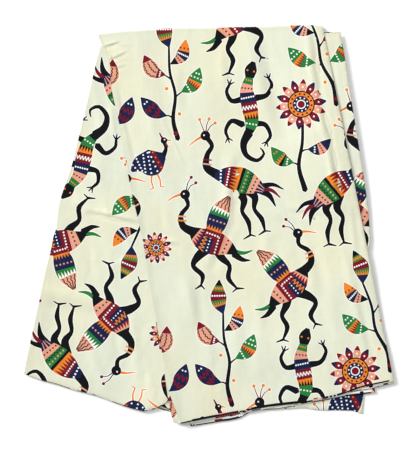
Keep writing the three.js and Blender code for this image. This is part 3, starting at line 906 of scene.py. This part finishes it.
def grid_inside(loop, step):
    low, high = loop.min(axis=0), loop.max(axis=0)
    rows = []
    for k, y in enumerate(np.arange(low[1], high[1], step * 0.866)):
        x = np.arange(low[0] + (k % 2) * step / 2, high[0], step)
        rows.append(np.column_stack([x, np.full(len(x), y)]))
    points = np.vstack(rows)
    return points[inside(loop - outward_of(loop) * step * 0.4, points)]


def clear_of(others, points, cell):
    """The points that share no square cell with any of the others."""
    taken = {tuple(place) for place in np.floor(others / cell).astype(int)}
    return points[[tuple(place) not in taken for place in np.floor(points / cell).astype(int)]]


def cut_print(outline, shapes, grid):
    """The flat cloth in triangles, cut along the outlines of the print's shapes: its points,
    its triangles and the dye of each."""
    loops = [outline] + [loop for _, loop in shapes]
    edges, count = [], 0
    for loop in loops:
        edges += closed_edges(count, len(loop))
        count += len(loop)
    flat = np.vstack(loops)
    points = [Vector(point) for point in np.vstack([flat, clear_of(flat, grid, PRINT_CELL)])]
    verts, _, tris, _, _, _ = delaunay_2d_cdt(points, edges, [], 0, 1e-3, False)
    flat = np.array([tuple(v) for v in verts])
    tris = np.array([tri for tri in tris if len(tri) == 3])
    corner = flat[tris]
    spin = np.cross(corner[:, 1] - corner[:, 0], corner[:, 2] - corner[:, 0])
    tris[spin < 0] = tris[spin < 0][:, ::-1]
    middle = flat[tris].mean(axis=1)
    keep = inside(outline, middle)
    tris, middle = tris[keep], middle[keep]
    dye = np.zeros(len(tris), int)
    order = np.argsort(middle[:, 0])
    sorted_x = middle[order, 0]
    for shade, loop in shapes:
        first, last = np.searchsorted(sorted_x, (loop[:, 0].min(), loop[:, 0].max()))
        near = order[first:last]
        near = near[(middle[near, 1] > loop[:, 1].min()) & (middle[near, 1] < loop[:, 1].max())]
        dye[near[inside(loop, middle[near])]] = DYE_ORDER.index(shade)
    used, numbers = np.unique(tris, return_inverse=True)
    return flat[used], numbers.reshape(-1, 3), dye


def lay_ply(node, anchor, lean, creases=(), marks=(), nudges=(), holes=(), fold_radius=0.0):
    """A printed ply on its CAD node: the print is cut into the mesh, so each dye has its own
    faces. With a fold radius its top edge turns down round the end of the stack."""
    seen_outline = outline = nudged(fair_outline(outline_of(node), OUTLINE_STEP), nudges)
    height_at = height_field(node, OVER_FOLD if fold_radius else 0.5)

    def past_fold(x, y):
        return y - np.interp(x, *fold_line)

    if fold_radius:
        high = outline[:, 1] > outline[:, 1].max() - TOP_ZONE
        top = outline[high & (outward_of(outline)[:, 1] > 0.85)]
        top = top[np.argsort(top[:, 0])]
        fold_line = (top[:, 0], top[:, 1] - fold_radius)
        outline = outline.copy()
        outline[past_fold(*outline.T) > fold_radius * 0.6, 1] += fold_radius * (math.radians(FOLD_TURN) - 1)

    def place(flat):
        """Where a point of the flat cloth lies, in mm."""
        x, y = flat.T
        over = np.maximum(past_fold(x, y), 0) if fold_radius else 0 * y
        angle = over / max(fold_radius, 1.0)
        level = np.column_stack([x, y - over])
        z = height_at(level) + crease_height(creases, level) - fold_radius * (1 - np.cos(angle))
        return np.column_stack([x, y - over + fold_radius * np.sin(angle), z])

    def normal_at(flat):
        across, up = (place(flat + step) - place(flat - step) for step in ([0.4, 0], [0, 0.4]))
        return unit(np.cross(across, up))

    def rows_along_fold(gap):
        """Points along the top fold, so that both faces of the cloth stay round there."""
        if not fold_radius:
            return np.zeros((0, 2))
        x = np.arange(fold_line[0].min(), fold_line[0].max(), gap)
        rows = np.vstack([np.column_stack([x, np.interp(x, *fold_line) + step]) for step in FOLD_ROWS])
        return rows[inside(outline - outward_of(outline) * 1.2, rows)]

    anchor = np.array(anchor, float)
    shapes = print_shapes(anchor, lean, (outline.min(axis=0), outline.max(axis=0))) + list(holes)
    if marks:
        shapes += foot_marks(node, marks)
    grid = grid_inside(outline, PLY_GRID)
    beside = points_beside(creases)
    if len(beside):
        beside = beside[inside(outline - outward_of(outline) * EDGE_MARGIN, beside)]
        beside = np.vstack([beside, rows_along_fold(6.0)])
        grid = np.vstack([clear_of(beside, grid, CREASE_CELL), beside])
    flat, tris, dye = cut_print(outline, shapes, grid)
    forward = {(a, b): face for face, tri in enumerate(tris.tolist())
               for a, b in zip(tri, tri[1:] + tri[:1])}
    steps = {a: b for (a, b) in forward if (b, a) not in forward}
    rim = max(chained(dict(steps)), key=len)
    rim_dye = [int(dye[forward[(a, steps[a])]]) for a in rim]

    rim_flat, size = flat[rim], len(rim)
    rim_points, rim_normal = place(rim_flat), normal_at(rim_flat)
    side = unit(np.cross(np.roll(rim_points, -1, axis=0) - np.roll(rim_points, 1, axis=0), rim_normal))
    points, flats = [place(flat)], [flat]
    faces, finishes = tris.tolist(), dye.tolist()
    upper, total = np.array(rim), len(flat)
    for number, (out, down) in enumerate(RIM, 1):
        points.append(rim_points + side * out - rim_normal * down)
        flats.append(rim_flat + outward_of(rim_flat) * RIM_STEP * number)
        lower = np.arange(total, total + size)
        faces += np.column_stack([upper, lower, np.roll(lower, -1), np.roll(upper, -1)]).tolist()
        finishes += rim_dye
        upper, total = lower, total + size
    upper_faces = len(faces)
    under = np.vstack([grid_inside(outline, UNDER_GRID), rows_along_fold(12.0)])
    points.append(place(under) - normal_at(under) * PLY_DEPTH)
    flats.append(under)
    numbers = np.append(upper, np.arange(total, total + len(under)))
    faces += numbers[filled(rim_flat, under, False)].tolist()
    finishes += [0] * (len(faces) - len(finishes))

    flats = np.vstack(flats)
    cloth_uv = turned(flats - anchor, -lean) * MM
    # Points near the outline get painted shade, darker towards the edge.
    piece = mesh_piece(node + "_print", np.vstack(points), faces, finishes, cloth_dyes, cloth_uv,
                       upper_faces, painted_edge_shade(flats, seen_outline))
    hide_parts(node)
    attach(piece, "root")
    return piece, abs(loop_area(outline)) * MM * MM


tail_piece, tail_cut = lay_ply("tail_end", (232, -130), 11.5)


# Frayed threads.
# The cloth is cut straight across here and not hemmed. Short ends of its warp threads, about
# a quarter of a millimetre thick, have worked loose and stand out past the cut.
THREADS = 46
THREAD_LENGTH = 4.2  # mm
THREAD_RADIUS = 0.14  # mm
THREAD_SEED = 5
CUT_END_X = 370  # mm, the cut end lies to the right of this


def thread_group():
    """Short bent threads along the edges of the mesh that it is given."""
    group = bpy.data.node_groups.new("Frayed threads", "GeometryNodeTree")
    add_sockets(group, "INPUT", [
        ("Geometry", "Geometry"), ("Threads", "Int", THREADS), ("Length", "Float", THREAD_LENGTH * MM),
        ("Radius", "Float", THREAD_RADIUS * MM), ("Seed", "Int", THREAD_SEED),
        ("Material", "Material")])
    add_sockets(group, "OUTPUT", [("Geometry", "Geometry")])
    given = add_node(group, "NodeGroupInput", {})
    edge = add_node(group, "GeometryNodeMeshToCurve", {"Mesh": given["Geometry"]})
    spread = add_node(group, "GeometryNodeResampleCurve", {
        "Curve": edge["Curve"], "Count": given["Threads"]})
    bend = add_node(group, "GeometryNodeCurveQuadraticBezier", {
        "Resolution": 7, "Start": (-0.1, 0.0, 0.0), "Middle": (0.5, 0.22, 0.06), "End": (1.0, -0.12, -0.1)})
    sized = add_node(group, "GeometryNodeTransform", {"Geometry": bend["Curve"], "Scale": given["Length"]})
    section = add_node(group, "GeometryNodeCurvePrimitiveCircle", {
        "Resolution": 5, "Radius": given["Radius"]})
    thread = add_node(group, "GeometryNodeCurveToMesh", {
        "Curve": sized["Geometry"], "Profile Curve": section["Curve"], "Fill Caps": True})
    turn = add_node(group, "FunctionNodeRandomValue", {
        "Min": (-0.6, -0.05, -0.7), "Max": (0.6, 0.08, 0.7), "Seed": given["Seed"]},
        data_type="FLOAT_VECTOR")
    size = add_node(group, "FunctionNodeRandomValue", {"Min": 0.35, "Max": 1.3, "Seed": given["Seed"]})
    planted = add_node(group, "GeometryNodeInstanceOnPoints", {
        "Points": spread["Curve"], "Instance": thread["Mesh"], "Rotation": turn["Value"],
        "Scale": next(output for output in size if output.enabled)})
    real = add_node(group, "GeometryNodeRealizeInstances", {"Geometry": planted["Instances"]})
    finish = add_node(group, "GeometryNodeSetMaterial", {
        "Geometry": real["Geometry"], "Material": given["Material"]})
    add_node(group, "NodeGroupOutput", {"Geometry": finish["Geometry"]})
    return group


def frayed_threads():
    outline = fair_outline(outline_of("tail_end"), OUTLINE_STEP)
    cut_end = outline[(outward_of(outline)[:, 0] > 0.9) & (outline[:, 0] > CUT_END_X)]
    height = height_field("tail_end")(cut_end - [4, 0]) - PLY_DEPTH / 2
    line = bpy.data.meshes.new("cut_end")
    points = np.column_stack([cut_end, height]) * MM
    line.from_pydata(points.tolist(), [(i, i + 1) for i in range(len(points) - 1)], [])
    holder = placed("cut_end", line)
    modifier = holder.modifiers.new("Frayed threads", "NODES")
    modifier.node_group = thread_group()
    values = {"Threads": THREADS, "Length": THREAD_LENGTH * MM, "Radius": THREAD_RADIUS * MM,
              "Seed": THREAD_SEED, "Material": cloth_dyes[DYE_ORDER.index("resist")]}
    for item in modifier.node_group.interface.items_tree:
        if item.in_out == "INPUT" and item.name in values:
            modifier[item.identifier] = values[item.name]
    made = bpy.data.meshes.new_from_object(holder.evaluated_get(bpy.context.evaluated_depsgraph_get()))
    made.name = "cut_end_threads"
    bpy.data.objects.remove(holder)
    threads = placed("cut_end_threads", made)
    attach(threads, "root")


frayed_threads()


# Selvedge corner.
# A corner of the woven edge, one ply, looks out between the flap and the front. Its edge
# is firm and plain.
corner_piece, corner_cut = lay_ply("selvedge_corner", (-300, -500), 11.5)


# Lower ply.
# The next folded edge of the strip, seen as a narrow band under the foot. The print runs
# over the fold, so only short bars of it show along the edge.
# The first row is a pale strip along the edge. It clears the motifs there, and its paleness is a painted
# highlight where the fold catches the light.
LOWER_MARKS = [
    ("resist", 2, 450, 8.0, 4.4), ("black", 2, 120, 2.6, 1.0), ("navy", 60, 112, 4.6, 2.6),
    ("wine", 52, 70, 4.6, 4.4), ("black", 124, 138, 2.0, 1.0), ("black", 150, 156, 4.4, 3.4),
    ("black", 170, 250, 1.8, 1.0), ("black", 186, 192, 3.0, 4.4), ("salmon", 254, 266, 2.8, 2.6),
    ("black", 274, 288, 5.0, 3.4), ("black", 292, 298, 2.4, 3.0), ("black", 300, 386, 1.4, 0.9),
    ("black", 386, 450, 3.4, 1.4), ("black", 424, 431, 5.0, 4.6),
]
lower_piece, lower_cut = lay_ply("lower_ply", (-60, -280), 11.5, marks=LOWER_MARKS)


# Left flap.
# The length of doubled strip under the front, which shows on the left. It runs the other
# way after the fold, so its print is upside down.
# Each row of creases is a ridge, or with a height below 0 a trough: from x, y to x, y, its
# width and its height, all in mm.
FLAP_CREASES = [
    (-474, -380, -392, -20, 42, 2.8), (-272, 440, -328, 209, 16, 1.2), (-328, 209, -383, 0, 16, 1.4),
    (-383, 0, -413, -137, 16, 1.4), (-413, -137, -462, -371, 16, 1.2), (-304, 42, -178, 14, 6, 1.9),
    (-300, 29, -176, 1, 6, -1.9), (-350, 62, -300, 46, 9, 1.0), (-330, 128, -300, 92, 8, 1.2),
    (-352, 110, -338, 74, 7, -0.9), (-262, 60, -246, 8, 7, 1.0), (-412, -196, -292, -224, 14, -1.6),
    (-418, -158, -296, -188, 16, 2.4), (-300, -196, -230, -204, 12, 0.8), (-285, 330, -262, 210, 10, 1.5),
    (-300, 170, -262, 96, 10, 1.4), (-322, 250, -306, 176, 8, -0.7), (-380, -20, -352, -120, 11, 1.5),
    (-250, -60, -238, -150, 10, 1.4), (-300, -60, -292, -130, 9, -1.2), (-372, -262, -330, -372, 12, 1.5),
    (-300, -300, -262, -400, 13, 1.6), (-410, -270, -384, -330, 10, -1.2),
    (-190, -240, -176, -390, 12, 1.5), (-230, -96, -186, -76, 8, 1.3), (-236, -250, -226, -330, 10, -1.3),
    (-246, 300, -236, 210, 7, 1.1), (-214, -20, -196, -60, 7, 1.1), (-160, -330, -140, -420, 10, 1.1),
]
FLAP_MARKS = [
    ("black", 40, 104, 1.3, 0.9), ("black", 160, 171, 1.4, 1), ("black", 214, 262, 1.5, 0.9, 1.0),
    ("black", 262, 301, 2.4, 1.2, 1.4), ("black", 318, 326, 1.8, 1.2),
]
FLAP_NUDGES = [(-392, -55, 45, 4.5, 0), (-455, -290, 70, -2.0, 0), (-284, 395, 50, -2.2, 0)]
flap_piece, flap_cut = lay_ply("left_flap", (100, 520), 166.7, FLAP_CREASES, FLAP_MARKS, FLAP_NUDGES)


# Right under-layer.
# Another length of the doubled strip, laid under the front. Its right edge shows, a long
# narrow stretch of the print with a few soft creases.
RIGHT_CREASES = [
    (340, 470, 418, 50, 26, 4.0), (316, 420, 336, 300, 8, 1.0), (334, 250, 352, 120, 9, 1.1),
    (366, 60, 376, -40, 8, 0.6),
]
right_piece, right_cut = lay_ply("right_under_layer", (120, 560), 7.6, RIGHT_CREASES)


# End ply.
# The front strip is doubled, and this is its second ply. It shows under the front's foot and
# at its lower left edge, with short bars of the print along the fold.
# The first row is a pale strip along the edge. It clears the motifs there, and its paleness is a painted
# highlight where the fold catches the light.
END_MARKS = [
    ("resist", 2, 540, 8.0, 4.4), ("wine", 98, 158, 5.6, 3.0), ("black", 168, 174, 4.6, 3.0),
    ("black", 190, 212, 2.2, 2.0), ("black", 330, 420, 1.6, 1.0), ("black", 490, 497, 5.0, 3.6),
    ("black", 420, 470, 1.4, 0.9), ("black", 526, 536, 4.6, 3.8), ("black", 500, 540, 1.2, 0.8),
] + [("salmon", start, start + 2.2, 2.0, 3.2) for start in range(102, 156, 6)]
end_piece, end_cut = lay_ply("end_ply", (-250, 300), 11.5, marks=END_MARKS)


# Front panel.
# The last length of the doubled strip, brought over the top fold at a slant. It has the
# creases of a cloth kept folded, and at its upper left corner the pin holes of the machine
# that held the selvedge while it dried, drawn as grey dots of painted shade.
FRONT_CREASES = [
    (-245, 445, -230, 400, 34, 1.5), (-246, 418, -208, 436, 3.0, 1.3), (-247, 411, -210, 429, 3.0, -1.1),
    (-264, 449, -228, 461, 2.8, 1.4), (-260, 443, -224, 455, 2.6, -1.0), (-252, 434, -242, 404, 3.0, 1.2),
    (-247, 436, -237, 406, 2.6, -0.9), (-240, 396, -206, 404, 4, 0.9), (-242, 388, -210, 397, 3.6, -0.7),
    (-246, 424, -232, 366, 5, 0.8), (-230, 456, -196, 452, 4, 0.8), (-238, 356, -190, 140, 6, 1.1),
    (-226, 352, -178, 138, 6, -0.6), (-250, 380, -221, 242, 8, 1.2), (-221, 242, -198, 109, 9, 1.4),
    (-198, 109, -165, -36, 9, 1.4), (-165, -36, -148, -145, 9, 1.5), (-148, -145, -115, -326, 10, 1.6),
    (-115, -326, -74, -486, 10, 1.6), (246, 470, 264, 320, 8, 2.0), (264, 468, 282, 318, 7, -2.0),
    (264, 320, 292, 212, 8, 2.2), (281, 316, 309, 208, 7, -2.0), (292, 212, 316, 66, 7, 2.2),
    (308, 208, 332, 62, 6, -2.0), (242, 330, 282, 50, 80, 5.4), (60, 330, 40, 60, 70, -0.9),
    (60, -330, 300, -300, 60, 2.0), (0, 420, -22, 10, 85, 2.0), (424, -130, 452, -300, 22, -1.2),
    (98, 474, 158, 232, 17, 2.4), (132, 474, 190, 226, 18, -2.2), (52, 160, 40, 8, 12, 2.0),
    (74, 158, 62, 4, 12, -2.2), (38, 6, -6, -96, 10, 1.5), (57, -2, 13, -104, 11, -1.6),
    (-154, -33, -82, -41, 5, 2.1), (-150, -45, -82, -53, 5, -0.7), (200, 48, 280, 34, 7, 1.2),
    (200, 34, 282, 18, 7, -1.2), (-117, 264, -60, 152, 6, 0.9), (-108, 256, -52, 146, 6, -0.9),
    (-128, 214, -96, 196, 5, 0.8), (-52, 112, -30, 40, 9, 0.9), (338, -60, 392, -336, 10, 1.5),
    (366, -112, 410, -338, 9, -1.2), (352, 40, 364, -60, 8, 1.1), (366, 36, 378, -62, 8, -0.7),
    (-146, -210, -84, -480, 42, 2.2), (-58, -140, -38, -236, 12, 1.3), (-34, -140, -16, -240, 12, -1.2),
    (-10, -250, 4, -330, 12, 1.2), (60, -250, 74, -350, 14, 1.3), (90, -250, 104, -350, 13, -1.1),
    (120, -180, 132, -300, 14, 1.3), (240, -60, 262, -160, 14, 1.4), (266, -64, 290, -166, 13, -1.1),
    (300, -190, 326, -300, 14, 1.2), (200, -260, 216, -380, 16, 1.3), (290, -330, 306, -400, 12, 1.1),
    (200, 330, 214, 250, 10, 1.1), (30, 430, 36, 350, 12, 1.2), (52, 428, 58, 350, 11, -0.9),
    (-90, 380, -76, 290, 12, 1.2), (-66, 376, -52, 290, 11, -0.9), (-150, 300, -136, 220, 10, 1.0),
    (150, 40, 196, 20, 10, 1.1), (40, -350, 30, -430, 14, 1.1), (-20, 60, -8, -20, 10, 0.9),
    (140, -20, 152, -110, 11, 1.0), (164, -22, 178, -112, 11, -0.9), (-110, 60, -98, -10, 9, 0.9),
]
FRONT_MARKS = [
    ("black", 0, 34, 3.2, 0.9, 1.8), ("black", 30, 92, 6.0, 2.2), ("plum", 88, 146, 5.0, 2.2),
    ("salmon", 96, 112, 2.4, 5.2), ("black", 150, 162, 2.8, 1.4), ("black", 168, 178, 4.2, 2.0),
    ("black", 180, 306, 6.8, 2.5), ("black", 302, 334, 3.0, 1.2), ("salmon", 336, 348, 3.0, 2.0),
    ("black", 338, 348, 2.2, 4.8), ("salmon", 352, 359, 3.0, 2.6), ("navy", 364, 374, 5.0, 2.4),
    ("navy", 379, 384, 4.8, 2.4), ("navy", 389, 393, 4.8, 2.4), ("navy", 398, 414, 5.0, 2.6),
    ("black", 412, 532, 3.8, 1.9, 3.6),
]
FRONT_NUDGES = [(-276, 476, 60, 0, 5.0), (-150, 490, 90, 0, 1.4), (160, 502, 40, 0, 1.8)]
# Each row of pin holes: from x, y to x, y in mm, and how many.
PINS = [(-259, 449, -226, 458, 10), (-258, 444, -249, 414, 9)]
# The holes are grey dots of painted shade on the mesh, which has no holes in it.
pin_holes = [("pinhole_shade", disc(*place, 1.1, sides=6)) for x0, y0, x1, y1, count in PINS
             for place in np.linspace((x0, y0), (x1, y1), count)]
front_piece, front_cut = lay_ply("front_panel", (-262, 470), 11.5, FRONT_CREASES, FRONT_MARKS,
                                 FRONT_NUDGES, pin_holes, fold_radius=4.6)


# The table top, light and camera.
# A plain white table top under the cloth, and soft daylight from the top left. The camera
# looks straight down from three metres up.
PHOTO_PIXEL = 2.5  # mm of cloth for each photo pixel
PHOTO_ROWS = 457
CAMERA_HEIGHT = 3.0  # m
CLOTH_LEVEL = 0.009  # m, the height at which the photo's scale holds
VIEW_CENTRE = (-0.0025, -0.0071)
TABLE_SIDE = 40.0


def table_top():
    mesh = bpy.data.meshes.new("table_top")
    half = TABLE_SIDE / 2
    mesh.from_pydata([(-half, -half, 0), (half, -half, 0), (half, half, 0), (-half, half, 0)], [],
                     [(0, 1, 2, 3)])
    material = bpy.data.materials.new("White table")
    material.use_nodes = True
    feed(material.node_tree, material.node_tree.nodes["Principled BSDF"], {
        "Base Color": (0.94, 0.94, 0.94, 1), "Roughness": 0.9, "Specular IOR Level": 0.1})
    mesh.materials.append(material)
    placed("table_top", mesh)


table_top()


def lamp(name, kind, place, energy, **shape):
    """A light that looks at the origin."""
    light = bpy.data.lights.new(name, kind)
    light.energy = energy
    for setting, value in shape.items():
        setattr(light, setting, value)
    holder = placed(name, light)
    holder.location = place
    holder.rotation_euler = (-Vector(place)).to_track_quat("-Z", "Y").to_euler()


lamp("window", "SUN", (-2.6, 1.9, 1.5), 4.02, angle=math.radians(22))
lamp("ceiling", "AREA", (-0.05, 0.85, 2.8), 22.6, size=1.6)

world = bpy.data.worlds.new("Soft daylight")
world.use_nodes = True
feed(world.node_tree, world.node_tree.nodes["Background"], {"Color": (1.0, 1.0, 1.0, 1), "Strength": 0.44})
bpy.context.scene.world = world
bpy.context.scene.view_settings.view_transform = "Standard"

camera_data = bpy.data.cameras.new("camera")
camera_data.sensor_width = 36.0
camera_data.lens = 36.0 * (CAMERA_HEIGHT - CLOTH_LEVEL) / (PHOTO_ROWS * PHOTO_PIXEL * MM)
camera = placed("camera", camera_data)
camera.location = (*VIEW_CENTRE, CAMERA_HEIGHT)
bpy.context.scene.camera = camera
